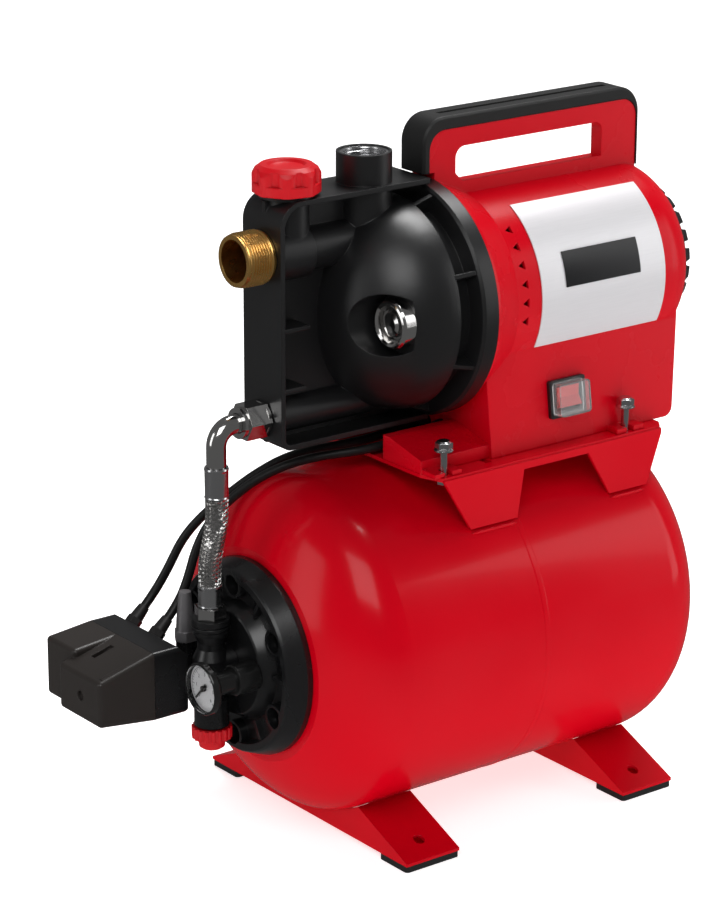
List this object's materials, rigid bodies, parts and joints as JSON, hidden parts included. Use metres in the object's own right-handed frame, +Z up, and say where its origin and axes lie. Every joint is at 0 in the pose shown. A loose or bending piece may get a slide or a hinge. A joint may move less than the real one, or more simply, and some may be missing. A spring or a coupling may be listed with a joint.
{
  "type": "centrifugal water pump",
  "caption": "Domestic waterworks: a black jet pump with a red motor, carrying handle and rocker switch, on a red pressure tank with gauge, switch and braided hose.",
  "frame": {"origin": "on the floor at the centre of the four foot bolts, midway between the two saddles", "axes": "+X along the pump and tank from the suction side to the motor fan, +Y towards the side away from the switch, +Z up"},
  "size_m": [0.5359, 0.2706, 0.551],
  "materials": {
    "tank_red": "gloss",
    "housing_red": "gloss",
    "cap_red": "satin",
    "rocker_red": "gloss",
    "casing_black": "satin",
    "flange_black": "satin",
    "cover_black": "satin",
    "gauge_black": "gloss",
    "gland_black": "matte",
    "badge_black": "gloss",
    "grip_black": "matte",
    "rubber_black": "matte",
    "cable_black": "satin",
    "ivory_plastic": "satin",
    "clear_cover": "clear gloss",
    "lens_glass": "clear",
    "dial_white": "satin",
    "needle_black": "satin",
    "label_silver": "brushed",
    "chrome": "polished",
    "zinc_steel": "zinc plated",
    "steel_braid": "woven wire",
    "bare_steel": "machined",
    "bare_aluminium": "cast",
    "grey_metal": "satin",
    "brass": "machined",
    "copper_winding": "enamelled"
  },
  "bodies": {
    "base": {"tank_shell": "tank_red", "front_saddle": "tank_red", "rear_saddle": "tank_red", "pump_bracket": "tank_red", "foot_pads": "rubber_black", "tank_membrane": "rubber_black", "tank_flange": "flange_black", "flange_bolts": "zinc_steel", "air_valve": "brass", "bracket_bolts": "zinc_steel", "bracket_nuts": "zinc_steel", "pump_casing": "casing_black", "suction_insert": "brass", "discharge_insert": "brass", "sight_plug": "chrome", "diffuser": "ivory_plastic", "jet_nozzle": "ivory_plastic", "mechanical_seal": "rubber_black", "pump_back_plate": "bare_steel", "stator_core": "bare_steel", "stator_windings": "copper_winding", "bearings": "bare_steel", "front_end_shield": "bare_aluminium", "rear_end_shield": "bare_aluminium", "capacitor": "bare_aluminium", "motor_housing": "housing_red", "fan_cover": "casing_black", "label_panel": "label_silver", "badge_plate": "badge_black", "handle_grip": "grip_black", "switch_frame": "casing_black", "switch_cover": "clear_cover", "cable_glands": "gland_black", "hose_nuts": "chrome", "hose_elbow": "chrome", "hose_ferrules": "zinc_steel", "braided_hose": "steel_braid", "manifold": "flange_black", "gauge_body": "gauge_black", "gauge_dial": "dial_white", "gauge_lens": "lens_glass", "pressure_switch_base": "flange_black", "pressure_switch_cover": "cover_black", "switch_terminals": "ivory_plastic", "switch_tee": "flange_black", "service_stub": "grey_metal", "motor_cable": "cable_black", "switch_cable": "cable_black"},
    "rotor": {"motor_shaft": "bare_steel", "rotor_core": "bare_steel", "impeller": "ivory_plastic", "cooling_fan": "ivory_plastic"},
    "rocker": {"switch_rocker": "rocker_red"},
    "filler_lift": {"filler_seal": "rubber_black"},
    "filler_cap": {"filler_cap": "cap_red"},
    "drain_lift": {"drain_seal": "rubber_black"},
    "drain_cap": {"drain_cap": "cap_red"},
    "gauge_needle": {"gauge_needle": "needle_black"},
    "valve_cover": {"air_valve_cover": "gland_black"}
  },
  "joints": [
    {"name": "motor_spin", "type": "hinge", "parent": "base", "child": "rotor", "pos_m": [0, 0, 0.411], "axis": [1, 0, 0], "continuous": true},
    {"name": "switch_rock", "type": "hinge", "parent": "base", "child": "rocker", "pos_m": [0.0596, -0.07249, 0.33061], "axis": [1, 0, 0], "range_deg": [0, 18]},
    {"name": "filler_cap_lift", "type": "slide", "parent": "base", "child": "filler_lift", "axis": [0, 0, 1], "range_m": [0, 0.0092]},
    {"name": "filler_cap_turn", "type": "hinge", "parent": "filler_lift", "child": "filler_cap", "pos_m": [-0.152, 0, 0.52], "axis": [0, 0, 1], "range_deg": [0, 1080]},
    {"name": "drain_cap_lower", "type": "slide", "parent": "base", "child": "drain_lift", "axis": [0, 0, -1], "range_m": [0, 0.0092]},
    {"name": "drain_cap_turn", "type": "hinge", "parent": "drain_lift", "child": "drain_cap", "pos_m": [-0.225, 0, 0.095], "axis": [0, 0, -1], "range_deg": [0, 1080]},
    {"name": "gauge_needle_turn", "type": "hinge", "parent": "base", "child": "gauge_needle", "pos_m": [-0.2556, -0.034, 0.1507], "axis": [1, 0, 0], "range_deg": [0, 270]},
    {"name": "valve_cover_pull", "type": "slide", "parent": "base", "child": "valve_cover", "axis": [1, 0, 0], "range_m": [0, 0.03]}
  ],
  "couplings": [
    {"joint": "filler_cap_lift", "follows": "filler_cap_turn", "m_per_rad": 0.00047746},
    {"joint": "drain_cap_lower", "follows": "drain_cap_turn", "m_per_rad": 0.00047746}
  ]
}
